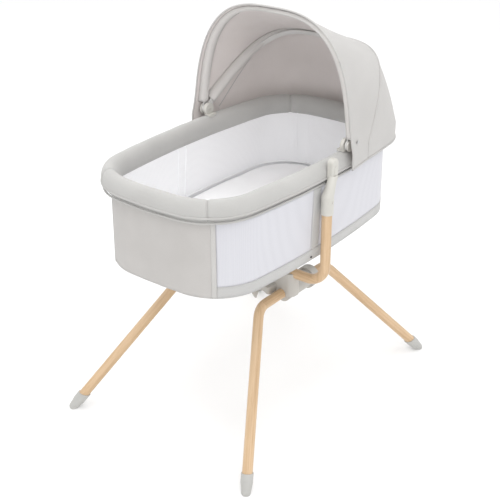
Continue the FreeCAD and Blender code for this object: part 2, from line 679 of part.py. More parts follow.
def rear_hood(wall):
    """Solid under the hood's rear panel."""
    arch = mid_section(wall)
    hem = hem_points(wall)
    hem[0] = arch[0]
    hem[-1] = arch[-1]
    rows = list(zip(arch, hem))
    faces = [polygon(arch), polygon(hem)]
    for (arch_a, hem_a), (arch_b, hem_b) in zip(rows, rows[1:]):
        if hem_a.distanceToPoint(arch_a) > 0.01:
            faces.append(polygon([arch_a, hem_b, hem_a]))
        if hem_b.distanceToPoint(arch_b) > 0.01:
            faces.append(polygon([arch_a, arch_b, hem_b]))
    solid = Part.makeSolid(Part.makeShell(faces))
    return solid if solid.Volume > 0 else solid.reversed()


def polygon(points):
    """Flat face through the points."""
    return Part.Face(Part.makePolygon(points + [points[0]]))


def hem_band(x_range):
    """Strip of the hood that hangs outside the rim."""
    band = plate(HOOD_OUTLINE, HOOD_HEM_Z, HOOD_BASE_Z)
    band = band.cut(plate(inset(HOOD_OUTLINE, HOOD_WALL), HOOD_HEM_Z - 1, HOOD_BASE_Z + 1))
    return band.common(slab(x_range, (-400, 400), (HOOD_HEM_Z, HOOD_BASE_Z)))


def make_front_panel():
    """Hood fabric from the front edge to the crease."""
    panel = front_hood(0.0).cut(front_hood(HOOD_WALL))
    return panel.fuse(hem_band((FRONT_EDGE_X, MID_CREASE_X)))


def make_rear_panel():
    """Hood fabric from the crease to the hem round the rim."""
    panel = rear_hood(0.0).cut(rear_hood(HOOD_WALL))
    return panel.fuse(hem_band((MID_CREASE_X, 500)))


def make_canopy_snaps():
    """Snaps at the hood's lower front corners."""
    x = PIVOT_X + 15
    y = outline_half_width(HOOD_OUTLINE, x) + 1.2
    snap = rod(4.5, V(x, y, 789), V(x, y + 2.2, 789))
    return Part.makeCompound([mirrored(snap, side) for _, side in SIDES])


# ---------------------------------------------------------------- build

def build_stand():
    """Stand pieces."""
    save("u_frame", make_u_frame())
    housing = make_hub_housing()
    collar = make_hub_collar()
    lever = make_fold_lever()
    socket = make_upright_collar()
    button = make_collar_button()
    screws = housing_screw_shapes(0.0)
    for side_name, side in SIDES:
        save("leg_frame_" + side_name, make_leg_frame(side))
        save("hub_housing_" + side_name, mirrored(housing, side))
        save("hub_collar_" + side_name, mirrored(collar, side))
        save("fold_lever_" + side_name, mirrored(lever, side))
        save("upright_collar_" + side_name, mirrored(socket, side))
        save("collar_button_" + side_name, mirrored(button, side))
        for end_name, end in ENDS:
            save("foot_cap_%s_%s" % (side_name, end_name), make_foot_cap(end, side))
    save("housing_screws", Part.makeCompound([mirrored(screws, side) for _, side in SIDES]))
    save("lever_pins", make_lever_pins())


def build_rim():
    """Rim frame, pads and piping, with the brackets on them."""
    pad = make_rim_pad()
    ends = slab((SEAM_X, 600), (-400, 400), (700, 800))
    sides = slab((-SEAM_X, SEAM_X), (0, 400), (700, 800))
    save("rim_frame", make_rim_frame())
    save("rim_pad_head", pad.common(ends))
    save("rim_pad_foot", pad.common(ends.mirror(V(0, 0, 0), V(1, 0, 0))))
    for side_name, side in SIDES:
        save("rim_pad_" + side_name, pad.common(mirrored(sides, side)))
    save("rim_piping", hoop(piping_line(), PIPING_Z, PIPING_R))
    spigot = make_bracket_spigot(0.0)
    hub = make_canopy_hub(pad)
    for side_name, side in SIDES:
        save("mount_bracket_" + side_name, mirrored(make_mount_bracket(side_name), side))
        save("bracket_spigot_" + side_name, mirrored(spigot, side))
        save("canopy_hub_" + side_name, mirrored(hub, side))
    save("release_button", mirrored(make_release_button(), -1))
    save("button_spring", mirrored(make_button_spring(), -1))


def build_basket():
    """Skirt, lining, floor and mattress."""
    skirt = make_skirt()
    heights = (BAND_TOP_Z, SKIRT_TOP_Z)
    save("bottom_band", skirt.common(slab((-500, 500), (-400, 400), (BASKET_FLOOR_Z, BAND_TOP_Z))))
    save("foot_panel", skirt.common(slab((-500, FOOT_PANEL_X), (-400, 400), heights)))
    save("head_panel", skirt.common(slab((HEAD_PANEL_X, 500), (-400, 400), heights)))
    for side_name, side in SIDES:
        across = (0, side * 400)
        save("side_strip_" + side_name, skirt.common(slab(STRIP_X, across, heights)))
        save("mesh_window_foot_" + side_name, skirt.common(slab((FOOT_PANEL_X, STRIP_X[0]), across, heights)))
        save("mesh_window_head_" + side_name, skirt.common(slab((STRIP_X[1], HEAD_PANEL_X), across, heights)))
    save("basket_lining", make_lining())
    board = inset(FLOOR_OUTLINE, 9.0)
    save("base_board", plate(board, BOARD_Z[0], BOARD_Z[1]))
    save("base_wire", hoop(inset(FLOOR_OUTLINE, SKIRT_WALL + WIRE_R + 0.8), BASKET_FLOOR_Z + WIRE_R + 1, WIRE_R))
    save("mattress", plate(inset(FLOOR_OUTLINE, 21.0), BOARD_Z[1] + 0.2, MATTRESS_TOP_Z))
    save("band_snaps", make_band_snaps())


def build_canopy():
    """Bows, pins, hood fabric and snaps."""
    save("front_bow", make_bow(FRONT_BOW, FRONT_EYE_Y))
    save("mid_bow", make_bow(MID_BOW, MID_EYE_Y))
    save("canopy_pins", make_canopy_pins())
    save("canopy_hub_caps", make_hub_caps())
    save("canopy_front_panel", make_front_panel())
    save("canopy_rear_panel", make_rear_panel())
    save("canopy_snaps", make_canopy_snaps())


os.makedirs("parts", exist_ok=True)
build_stand()
build_rim()
build_basket()
build_canopy()
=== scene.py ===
"""Looks of the bassinet on its folding stand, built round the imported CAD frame. Metres, +Z up."""

import math

import bpy
import bmesh
import numpy as np
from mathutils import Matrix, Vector, noise
from mathutils.bvhtree import BVHTree


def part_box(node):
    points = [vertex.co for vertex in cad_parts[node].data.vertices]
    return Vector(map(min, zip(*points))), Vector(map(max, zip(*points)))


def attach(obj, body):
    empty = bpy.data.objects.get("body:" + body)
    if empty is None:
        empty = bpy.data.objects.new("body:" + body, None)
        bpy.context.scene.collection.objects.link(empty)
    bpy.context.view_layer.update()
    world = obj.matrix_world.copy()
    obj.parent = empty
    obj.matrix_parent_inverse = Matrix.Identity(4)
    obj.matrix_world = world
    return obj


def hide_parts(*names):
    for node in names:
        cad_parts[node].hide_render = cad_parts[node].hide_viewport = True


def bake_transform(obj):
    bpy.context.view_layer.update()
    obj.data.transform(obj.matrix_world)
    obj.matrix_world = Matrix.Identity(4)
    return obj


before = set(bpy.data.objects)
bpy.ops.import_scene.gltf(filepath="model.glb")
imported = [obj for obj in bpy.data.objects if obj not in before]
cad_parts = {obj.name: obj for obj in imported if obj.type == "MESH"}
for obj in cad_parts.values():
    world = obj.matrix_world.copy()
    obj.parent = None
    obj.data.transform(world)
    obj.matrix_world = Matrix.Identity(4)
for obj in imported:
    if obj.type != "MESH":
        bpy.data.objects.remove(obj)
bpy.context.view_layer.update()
scene = bpy.context.scene

# Heights and outlines that the frame gives
RIM_LOW, RIM_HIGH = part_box("rim_pad_near")[0].z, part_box("rim_pad_near")[1].z
RIM_HALF_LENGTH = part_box("rim_pad_head")[1].x
RIM_HALF_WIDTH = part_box("rim_pad_far")[1].y
RIM_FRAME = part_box("rim_frame")
PAD_HALF = RIM_HALF_LENGTH - RIM_FRAME[1].x + (RIM_FRAME[1].z - RIM_FRAME[0].z) / 2
PIPING_Z = (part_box("rim_piping")[0].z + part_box("rim_piping")[1].z) / 2
PIPING_R = (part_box("rim_piping")[1].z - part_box("rim_piping")[0].z) / 2
FLOOR_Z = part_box("bottom_band")[0].z
BAND_TOP_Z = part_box("bottom_band")[1].z
SKIRT_TOP_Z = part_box("foot_panel")[1].z
FOOT_EDGE_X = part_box("foot_panel")[1].x
HEAD_EDGE_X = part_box("head_panel")[0].x
STRIP_LOW_X, STRIP_HIGH_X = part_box("side_strip_near")[0].x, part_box("side_strip_near")[1].x
SEAM_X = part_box("rim_pad_near")[1].x
HOOD_HEM_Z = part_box("canopy_front_panel")[0].z
HOOD_FRONT_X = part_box("canopy_front_panel")[0].x
HOOD_TOP_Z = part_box("canopy_front_panel")[1].z
HOOD_HEAD_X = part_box("canopy_rear_panel")[1].x
CREASE_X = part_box("canopy_rear_panel")[0].x
CREASE_TOP_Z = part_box("canopy_rear_panel")[1].z
PIVOT = sum((Vector(c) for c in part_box("canopy_pins")), Vector()) / 2
MATTRESS_LOW_Z, MATTRESS_HIGH_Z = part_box("mattress")[0].z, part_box("mattress")[1].z

MM = 0.001
RIM_STEP = 5 * MM        # the rim's hem below its piping lies this much further in
RIM_FALL = 0.017         # the soft rim falls by this much per metre towards the head end
FALL_FADE = 0.15         # the hood takes up the rim's fall over this height
RIM_LOW_POWER, RIM_HIGH_POWER = 2.6, 2.1     # how square the rim's section is below and above
RIM_RING = 72            # points round the rim's section
PIPING_POINTS = 300

WINDOW_TAPE = 8 * MM     # width of the tapes that edge the mesh windows
HEM_RISE = 4 * MM        # the skirt's cloth runs this far up into the rim
LINING_GAP = 12 * MM     # from the skirt's foot to the lining's
LINING_RISE = 9 * MM     # the lining runs this far up behind the rim
LINING_SHEET = 1.4 * MM

MATTRESS_GAP = 17 * MM   # from the skirt's foot to the mattress's side
MATTRESS_SWELL = 4 * MM
MATTRESS_VOXEL = 9 * MM


# ------------------------------------------------------------------ outlines

class Outline:
    """Closed oval of eight tangent arcs, followed by the direction of its outward normal."""

    def __init__(self, length, width, end_r, side_r, corner_r):
        self.values = (length, width, end_r, side_r, corner_r)
        self.length, self.width, self.end_r, self.side_r, self.corner_r = self.values
        end_c = Vector((length - end_r, 0))
        side_c = Vector((0, width - side_r))
        r_end, r_side = end_r - corner_r, side_r - corner_r
        across = side_c - end_c
        gap = across.length
        along = (r_end ** 2 - r_side ** 2 + gap ** 2) / (2 * gap)
        rise = math.sqrt(r_end ** 2 - along ** 2)
        unit = across / gap
        foot = end_c + unit * along
        options = [foot + Vector((-unit.y, unit.x)) * rise, foot - Vector((-unit.y, unit.x)) * rise]
        self.corner = max(options, key=lambda p: p.x + p.y)
        first = self.corner - end_c
        second = self.corner - side_c
        self.turn_1 = math.atan2(first.y, first.x)
        self.turn_2 = math.atan2(second.y, second.x)
        self.marks = self._marks()

    def _marks(self):
        """Normal directions where the radius changes, with the length up to each."""
        t1, t2, pi = self.turn_1, self.turn_2, math.pi
        turns = [0, t1, t2, pi - t2, pi - t1, pi + t1, pi + t2, 2 * pi - t2, 2 * pi - t1, 2 * pi]
        radii = [self.end_r, self.corner_r, self.side_r, self.corner_r, self.end_r,
                 self.corner_r, self.side_r, self.corner_r, self.end_r]
        total, marks = 0.0, [(0.0, 0.0)]
        for start, stop, radius in zip(turns, turns[1:], radii):
            total += (stop - start) * radius
            marks.append((stop, total))
        return marks

    def point(self, turn):
        """Point and outward normal where the normal points along turn."""
        turn %= 2 * math.pi
        c, s = math.cos(turn), math.sin(turn)
        quarter = math.atan2(abs(s), abs(c))
        if quarter < self.turn_1:
            centre, radius = (self.length - self.end_r, 0.0), self.end_r
        elif quarter < self.turn_2:
            centre, radius = tuple(self.corner), self.corner_r
        else:
            centre, radius = (0.0, self.width - self.side_r), self.side_r
        x = math.copysign(centre[0] + radius * abs(c), c)
        y = math.copysign(centre[1] + radius * abs(s), s)
        return Vector((x, y)), Vector((c, s))

    def distance(self, turn):
        """Length along the outline from the head end's middle."""
        whole, rest = divmod(turn, 2 * math.pi)
        return whole * self.marks[-1][1] + float(np.interp(rest, *zip(*self.marks)))

    def turn_at(self, distance):
        """Normal direction at a length along the outline."""
        whole, rest = divmod(distance, self.marks[-1][1])
        turns, lengths = zip(*self.marks)
        return whole * 2 * math.pi + float(np.interp(rest, lengths, turns))

    def turn_at_x(self, x, side):
        """Normal direction at a place x on the far (+1) or near (-1) side."""
        low, high = 0.0, math.pi
        for _ in range(50):
            middle = (low + high) / 2
            if self.point(middle)[0].x > x:
                low = middle
            else:
                high = middle
        return middle if side > 0 else 2 * math.pi - middle

    def inset(self, amount):
        """Parallel outline moved inward."""
        return Outline(*(v - amount for v in self.values))

    def mixed(self, other, share):
        """Outline part of the way to another."""
        return Outline(*(a + (b - a) * share for a, b in zip(self.values, other.values)))


# Half length, half width, then the radii of the end, side and corner arcs
RIM = Outline(RIM_HALF_LENGTH, RIM_HALF_WIDTH, 0.850, 2.600, 0.158)
SKIRT_TOP = Outline(0.424, 0.246, 1.000, 2.800, 0.175)
FLOOR = Outline(0.415, 0.241, 2.000, 3.000, 0.147)
HOOD = Outline(HOOD_HEAD_X, 0.265, 0.780, 2.600, 0.165)


def skirt_outline(z):
    """Outline of the skirt's outer face at a height."""
    return FLOOR.mixed(SKIRT_TOP, (z - FLOOR_Z) / (SKIRT_TOP_Z - FLOOR_Z))


# ------------------------------------------------------------------ mesh helpers

def smooth_noise(point, scale, seed=0.0):
    """Soft noise from -1 to 1 with features about scale metres across."""
    return noise.noise(Vector(point) / scale + Vector((seed, seed * 1.7, -seed)))


def new_object(name, verts, faces, material, smooth=True):
    """Mesh object from points and faces, normals made consistent."""
    mesh = bpy.data.meshes.new(name)
    mesh.from_pydata([tuple(v) for v in verts], [], faces)
    mesh.validate()
    bm = bmesh.new()
    bm.from_mesh(mesh)
    bmesh.ops.remove_doubles(bm, verts=bm.verts, dist=1e-6)
    bmesh.ops.recalc_face_normals(bm, faces=bm.faces)
    bm.to_mesh(mesh)
    bm.free()
    for polygon in mesh.polygons:
        polygon.use_smooth = smooth
    mesh.materials.append(material)
    obj = bpy.data.objects.new(name, mesh)
    scene.collection.objects.link(obj)
    return obj


def grid_object(name, rows, material, close_rows=False, close_cols=False, caps=False):
    """Object from a grid of points. caps closes the first and last rows of a closed section."""
    count, width = len(rows), len(rows[0])
    verts = [p for row in rows for p in row]
    faces = []
    for i in range(count if close_rows else count - 1):
        for j in range(width if close_cols else width - 1):
            a, b = i * width + j, i * width + (j + 1) % width
            c, d = ((i + 1) % count) * width + (j + 1) % width, ((i + 1) % count) * width + j
            faces.append((a, b, c, d))
    if caps:
        faces.append(tuple(range(width)))
        faces.append(tuple((count - 1) * width + j for j in reversed(range(width))))
    return new_object(name, verts, faces, material)


def apply_modifiers(obj):
    """Replace the mesh by its evaluated form."""
    graph = bpy.context.evaluated_depsgraph_get()
    mesh = bpy.data.meshes.new_from_object(obj.evaluated_get(graph))
    obj.modifiers.clear()
    obj.data = mesh
    return obj


def solidify(obj, thickness, offset=-1.0, material_offset=0):
    """Give a sheet its thickness, inward by default."""
    modifier = obj.modifiers.new("thickness", "SOLIDIFY")
    modifier.thickness = thickness
    modifier.offset = offset
    modifier.material_offset = material_offset
    modifier.material_offset_rim = 0
    return apply_modifiers(obj)


def sheet_between(name, lines, material, thickness, offset=-1.0):
    """Thin sheet through lines of points, each from one edge to the other."""
    obj = grid_object(name, lines, material)
    return solidify(obj, thickness, offset)


def tube_along(name, points, radius, material, sides=10, closed=False, flat=1.0):
    """Round or flattened rod along points, with frames kept upright."""
    count = len(points)
    rows = []
    for i, p in enumerate(points):
        before = points[(i - 1) % count] if closed or i else p
        after = points[(i + 1) % count] if closed or i < count - 1 else p
        along = (Vector(after) - Vector(before)).normalized()
        helper = Vector((0, 0, 1)) if abs(along.z) < 0.9 else Vector((1, 0, 0))
        side = along.cross(helper).normalized()
        up = side.cross(along).normalized()
        ring = []
        for k in range(sides):
            angle = 2 * math.pi * k / sides
            wide, tall = radius * flat * math.cos(angle), radius * math.sin(angle)
            ring.append(Vector(p) + side * wide + up * tall)
        rows.append(ring)
    return grid_object(name, rows, material, close_rows=closed, close_cols=True, caps=not closed)


def settle(obj):
    """Let the soft rim and what hangs from it fall a little towards the head end."""
    for vertex in obj.data.vertices:
        up = (vertex.co.z - FLOOR_Z) / (RIM_HIGH - FLOOR_Z)
        if up < 1.0:
            share = max(0.0, up)
        else:
            share = max(0.0, 1.0 - (vertex.co.z - RIM_HIGH) / FALL_FADE)
        vertex.co.z -= RIM_FALL * vertex.co.x * share
    return obj


def place(obj, body, slot_name, *replaced):
    """Ride and replaced nodes of a piece in one call; its slot name is not used."""
    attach(obj, body)
    if replaced:
        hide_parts(*replaced)
    return obj


# ------------------------------------------------------------------ materials

def start_material(name):
    """Empty node material with its shader."""
    material = bpy.data.materials.new(name)
    material.use_nodes = True
    tree = material.node_tree
    tree.nodes.clear()
    output = tree.nodes.new("ShaderNodeOutputMaterial")
    shader = tree.nodes.new("ShaderNodeBsdfPrincipled")
    tree.links.new(shader.outputs["BSDF"], output.inputs["Surface"])
    return material, tree, shader


def add(tree, kind, **values):
    """New node with properties and socket values set."""
    node = tree.nodes.new(kind)
    for key, value in values.items():
        if hasattr(node, key):
            setattr(node, key, value)
        else:
            node.inputs[key.replace("_", " ")].default_value = value
    return node


def colour_ramp(tree, source, stops):
    """Ramp of colours driven by a value."""
    ramp = tree.nodes.new("ShaderNodeValToRGB")
    while len(ramp.color_ramp.elements) < len(stops):
        ramp.color_ramp.elements.new(0.5)
    for element, (place_at, colour) in zip(ramp.color_ramp.elements, stops):
        element.position = place_at
        element.color = (*colour, 1)
    tree.links.new(source, ramp.inputs["Fac"])
    return ramp.outputs["Color"]


def math_node(tree, operation, first, second=0.0):
    """Math node; each argument is a socket or a number."""
    node = add(tree, "ShaderNodeMath", operation=operation)
    for socket, value in zip(node.inputs, (first, second)):
        if isinstance(value, (int, float)):
            socket.default_value = value
        else:
            tree.links.new(value, socket)
    return node.outputs[0]


def object_vector(tree, scale=(1, 1, 1), rotation=(0, 0, 0)):
    """Object coordinates, scaled and turned."""
    coordinates = tree.nodes.new("ShaderNodeTexCoord")
    mapping = tree.nodes.new("ShaderNodeMapping")
    mapping.inputs["Scale"].default_value = scale
    mapping.inputs["Rotation"].default_value = rotation
    tree.links.new(coordinates.outputs["Object"], mapping.inputs["Vector"])
    return mapping.outputs["Vector"]


def linked_noise(tree, vector, scale, detail=3.0, roughness=0.5):
    """Noise texture value at a vector."""
    node = add(tree, "ShaderNodeTexNoise")
    node.inputs["Scale"].default_value = scale
    node.inputs["Detail"].default_value = detail
    node.inputs["Roughness"].default_value = roughness
    tree.links.new(vector, node.inputs["Vector"])
    return node.outputs["Fac"]


def set_bump(tree, shader, height, strength, distance):
    """Bump the shader's normal by a height value."""
    bump = add(tree, "ShaderNodeBump")
    bump.inputs["Strength"].default_value = strength
    bump.inputs["Distance"].default_value = distance
    tree.links.new(height, bump.inputs["Height"])
    tree.links.new(bump.outputs["Normal"], shader.inputs["Normal"])


def weave_height(tree, pitch):
    """Crossed threads of a plain weave, from waves along the three axes."""
    vector = object_vector(tree)
    split = tree.nodes.new("ShaderNodeSeparateXYZ")
    tree.links.new(vector, split.inputs["Vector"])
    step = 2 * math.pi / pitch
    around = math_node(tree, "ADD", split.outputs["X"], split.outputs["Y"])
    warp = math_node(tree, "SINE", math_node(tree, "MULTIPLY", around, step))
    weft = math_node(tree, "SINE", math_node(tree, "MULTIPLY", split.outputs["Z"], step))
    against = math_node(tree, "SUBTRACT", split.outputs["X"], split.outputs["Y"])
    cross = math_node(tree, "SINE", math_node(tree, "MULTIPLY", against, step))
    plain = math_node(tree, "MULTIPLY", warp, weft)
    return math_node(tree, "ADD", plain, math_node(tree, "MULTIPLY", cross, 0.5))


def fabric_material(name, light, dark, pitch=0.0011, sheen=0.25, rough=0.88, bump=0.35):
    """Fine plain-woven polyester with a soft heather."""
    material, tree, shader = start_material(name)
    vector = object_vector(tree)
    fleck = linked_noise(tree, vector, 900.0, 2.0)
    cloud = linked_noise(tree, vector, 9.0, 2.0)
    mixed = math_node(tree, "ADD", math_node(tree, "MULTIPLY", fleck, 0.55),
                      math_node(tree, "MULTIPLY", cloud, 0.45))
    colour = colour_ramp(tree, mixed, [(0.36, dark), (0.62, light)])
    tree.links.new(colour, shader.inputs["Base Color"])
    shader.inputs["Roughness"].default_value = rough
    shader.inputs["Sheen Weight"].default_value = sheen
    shader.inputs["Sheen Roughness"].default_value = 0.45
    shader.inputs["Specular IOR Level"].default_value = 0.25
    threads = weave_height(tree, pitch)
    crease = math_node(tree, "MULTIPLY", linked_noise(tree, vector, 28.0, 3.0), 1.2)
    set_bump(tree, shader, math_node(tree, "ADD", threads, crease), bump, 0.0004)
    return material


def mesh_fabric_material(name, light, shade, cell=0.0026):
    """Knitted mesh: rounded holes in staggered rows."""
    material, tree, shader = start_material(name)
    vector = object_vector(tree)
    cells = add(tree, "ShaderNodeTexVoronoi", feature="F1")
    cells.inputs["Scale"].default_value = 1.0 / cell
    cells.inputs["Randomness"].default_value = 0.18
    tree.links.new(vector, cells.inputs["Vector"])
    hole = cells.outputs["Distance"]
    # The holes are painted darker, as painted shade in the mesh
    colour = colour_ramp(tree, hole, [(0.12, shade), (0.42, light)])
    tree.links.new(colour, shader.inputs["Base Color"])
    shader.inputs["Roughness"].default_value = 0.7
    shader.inputs["Sheen Weight"].default_value = 0.2
    shader.inputs["Specular IOR Level"].default_value = 0.3
    set_bump(tree, shader, math_node(tree, "MINIMUM", hole, 0.45), 0.15, 0.0004)
    return material


def plastic_material(name, light, dark, rough=0.42, coat=0.0):
    """Moulded plastic with a fine spark-eroded grain and faint flow marks."""
    material, tree, shader = start_material(name)
    vector = object_vector(tree)
    cloud = linked_noise(tree, vector, 14.0, 3.0)
    colour = colour_ramp(tree, cloud, [(0.3, dark), (0.7, light)])
    tree.links.new(colour, shader.inputs["Base Color"])
    grain = linked_noise(tree, vector, 1600.0, 2.0)
    ramp = add(tree, "ShaderNodeMapRange")
    ramp.inputs["To Min"].default_value = rough - 0.06
    ramp.inputs["To Max"].default_value = rough + 0.08
    tree.links.new(cloud, ramp.inputs["Value"])
    tree.links.new(ramp.outputs["Result"], shader.inputs["Roughness"])
    shader.inputs["Coat Weight"].default_value = coat
    set_bump(tree, shader, grain, 0.12, 0.0002)
    return material


def metal_material(name, colour_value, rough=0.35, metallic=1.0):
    """Plain metal with drawn scratches."""
    material, tree, shader = start_material(name)
    vector = object_vector(tree, scale=(1, 1, 30))
    scratch = linked_noise(tree, vector, 120.0, 4.0)
    dark = tuple(c * 0.8 for c in colour_value)
    colour = colour_ramp(tree, scratch, [(0.3, dark), (0.7, colour_value)])
    tree.links.new(colour, shader.inputs["Base Color"])
    shader.inputs["Metallic"].default_value = metallic
    shader.inputs["Roughness"].default_value = rough
    set_bump(tree, shader, scratch, 0.1, 0.0002)
    return material


def wood_material(name, regions):
    """Beech-look film on tube. regions: run direction and the axis test that picks each run."""
    material, tree, shader = start_material(name)
    coordinates = tree.nodes.new("ShaderNodeTexCoord")
    mirror = add(tree, "ShaderNodeVectorMath", operation="ABSOLUTE")
    tree.links.new(coordinates.outputs["Object"], mirror.inputs[0])
    split = tree.nodes.new("ShaderNodeSeparateXYZ")
    tree.links.new(mirror.outputs["Vector"], split.inputs["Vector"])
    chosen = None
    for direction, axis, limit in regions:
        turned = tree.nodes.new("ShaderNodeMapping")
        turn = Vector(direction).rotation_difference(Vector((0, 0, 1)))
        turned.inputs["Rotation"].default_value = turn.to_euler()
        tree.links.new(mirror.outputs["Vector"], turned.inputs["Vector"])
        stretched = tree.nodes.new("ShaderNodeMapping")
        stretched.inputs["Scale"].default_value = (1, 1, 0.035)
        tree.links.new(turned.outputs["Vector"], stretched.inputs["Vector"])
        if chosen is None:
            chosen = stretched.outputs["Vector"]
        else:
            mask = math_node(tree, "GREATER_THAN", split.outputs[axis], limit)
            mix = add(tree, "ShaderNodeMix", data_type="VECTOR")
            tree.links.new(mask, mix.inputs[0])
            tree.links.new(chosen, mix.inputs[4])
            tree.links.new(stretched.outputs["Vector"], mix.inputs[5])
            chosen = mix.outputs[1]
    streak = linked_noise(tree, chosen, 260.0, 5.0, 0.62)
    band = linked_noise(tree, chosen, 70.0, 2.0)
    fleck = linked_noise(tree, chosen, 900.0, 2.0)
    tone = math_node(tree, "ADD", math_node(tree, "MULTIPLY", streak, 0.55),
                     math_node(tree, "MULTIPLY", band, 0.45))
    colour = colour_ramp(tree, tone, [(0.33, (0.440, 0.290, 0.160)), (0.47, (0.560, 0.385, 0.225)),
                                      (0.60, (0.630, 0.450, 0.280))])
    pore = math_node(tree, "GREATER_THAN", fleck, 0.66)
    mix = add(tree, "ShaderNodeMix", data_type="RGBA", blend_type="MULTIPLY")
    tree.links.new(math_node(tree, "MULTIPLY", pore, 0.25), mix.inputs[0])
    tree.links.new(colour, mix.inputs[6])
    mix.inputs[7].default_value = (0.55, 0.42, 0.30, 1)
    tree.links.new(mix.outputs[2], shader.inputs["Base Color"])
    shader.inputs["Roughness"].default_value = 0.45
    shader.inputs["Coat Weight"].default_value = 0.15
    shader.inputs["Coat Roughness"].default_value = 0.3
    set_bump(tree, shader, streak, 0.12, 0.0003)
    return material


# Where the wood film turns with its tube
LEG_RUN = (0.292, 0.180, -0.361)         # from a leg's knee to its foot
LEG_BEND_X, FRAME_BEND_Y = 0.146, 0.249


def make_materials():
    """Every finish, by the name the pieces use."""
    leg = Vector(LEG_RUN).normalized()
    return {
        "wood_legs": wood_material("wood_legs", [((1, 0, 0), "X", 0.0), (leg, "X", LEG_BEND_X)]),
        "wood_frame": wood_material("wood_frame", [((0, 1, 0), "Y", 0.0), ((0, 0, 1), "Y", FRAME_BEND_Y)]),
        "canopy": fabric_material("canopy_fabric", (0.515, 0.503, 0.490), (0.470, 0.458, 0.445)),
        "canopy_inside": fabric_material("canopy_inside", (0.760, 0.708, 0.686), (0.700, 0.650, 0.628)),
        # Bow casings: the canopy's grey cloth painted lighter, as painted light inside the hood
        "sleeve": fabric_material("sleeve_fabric_painted_light", (0.640, 0.618, 0.600), (0.590, 0.568, 0.550)),
        "rim": fabric_material("rim_fabric", (0.500, 0.494, 0.480), (0.456, 0.450, 0.437)),
        "panel": fabric_material("panel_fabric", (0.530, 0.512, 0.496), (0.475, 0.458, 0.442)),
        "band": fabric_material("band_fabric", (0.530, 0.526, 0.518), (0.478, 0.474, 0.466)),
        "binding": fabric_material("binding_fabric", (0.560, 0.550, 0.535), (0.480, 0.470, 0.455),
                                   pitch=0.0018),
        "mesh": mesh_fabric_material("mesh_fabric", (0.590, 0.590, 0.625), (0.530, 0.530, 0.565)),
        "lining": mesh_fabric_material("lining_fabric", (0.950, 0.950, 0.965), (0.900, 0.900, 0.920),
                                       cell=0.0018),
        "mattress": fabric_material("mattress_fabric", (0.950, 0.950, 0.955), (0.900, 0.900, 0.910),
                                    pitch=0.0016),
        "cream": plastic_material("cream_plastic", (0.562, 0.550, 0.512), (0.530, 0.518, 0.480)),
        # The hub parts take the cream plastic painted darker, as painted shade under the basket
        "hub_painted_shade": plastic_material("grey_plastic", (0.482, 0.462, 0.430), (0.445, 0.425, 0.393),
                                 rough=0.5),
        "foot": plastic_material("foot_plastic", (0.465, 0.460, 0.440), (0.425, 0.420, 0.402),
                                 rough=0.5),
        "bow": plastic_material("bow_plastic", (0.700, 0.690, 0.675), (0.650, 0.640, 0.625), rough=0.4),
        "board": plastic_material("board_plastic", (0.550, 0.550, 0.550), (0.500, 0.500, 0.500),
                                  rough=0.6),
        "dark": metal_material("dark_steel", (0.060, 0.060, 0.060), 0.4, 0.6),
        "rubber": plastic_material("black_rubber", (0.040, 0.040, 0.040), (0.030, 0.030, 0.030),
                                   rough=0.7),
        "steel": metal_material("steel", (0.560, 0.560, 0.560)),
        "aluminium": metal_material("aluminium", (0.700, 0.700, 0.710), 0.4),
    }


M = make_materials()
CAD_FINISHES = {
    "wood_frame": ["u_frame"],
    "wood_legs": ["leg_frame_near", "leg_frame_far"],
    # The hub housings, collars and fold levers take the plastic with painted shade
    "hub_painted_shade": ["hub_housing_near", "hub_housing_far", "hub_collar_near", "hub_collar_far",
             "fold_lever_near", "fold_lever_far"],
    "foot": ["foot_cap_near_foot", "foot_cap_near_head", "foot_cap_far_foot", "foot_cap_far_head"],
    "cream": ["upright_collar_near", "upright_collar_far", "collar_button_near", "collar_button_far",
              "mount_bracket_near", "mount_bracket_far", "bracket_spigot_near", "bracket_spigot_far",
              "release_button", "canopy_hub_near", "canopy_hub_far", "canopy_hub_caps"],
    "dark": ["housing_screws", "band_snaps"],
    "rubber": ["button_spring"],
    "steel": ["lever_pins", "canopy_pins", "base_wire", "canopy_snaps"],
    "aluminium": ["rim_frame"],
    "bow": ["front_bow", "mid_bow"],
    "board": ["base_board"],
}


def finish_cad_nodes():
    """Give the shown CAD nodes their materials."""
    for finish, nodes in CAD_FINISHES.items():
        for node in nodes:
            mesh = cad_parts[node].data
            mesh.materials.clear()
            mesh.materials.append(M[finish])


finish_cad_nodes()


# ------------------------------------------------------------------ padded rim

def rim_profile(step, count):
    """Place round the rim's section: offset outward from the pad's line, and height."""
    angle = 2 * math.pi * step / count
    c, s = math.cos(angle), math.sin(angle)
    half = PAD_HALF
    middle = (RIM_LOW + RIM_HIGH) / 2
    tall = (RIM_HIGH - RIM_LOW) / 2
    power = 2 / (RIM_LOW_POWER if s < 0 else RIM_HIGH_POWER)
    across = half * math.copysign(abs(c) ** power, c)
    up = tall * math.copysign(abs(s) ** power, s)
    if c > 0:
        across *= 1 - 0.05 * max(0.0, s)
        under = max(0.0, min(1.0, (PIPING_Z - middle - up) / PIPING_R))
        across -= RIM_STEP * under
    return across, middle + up


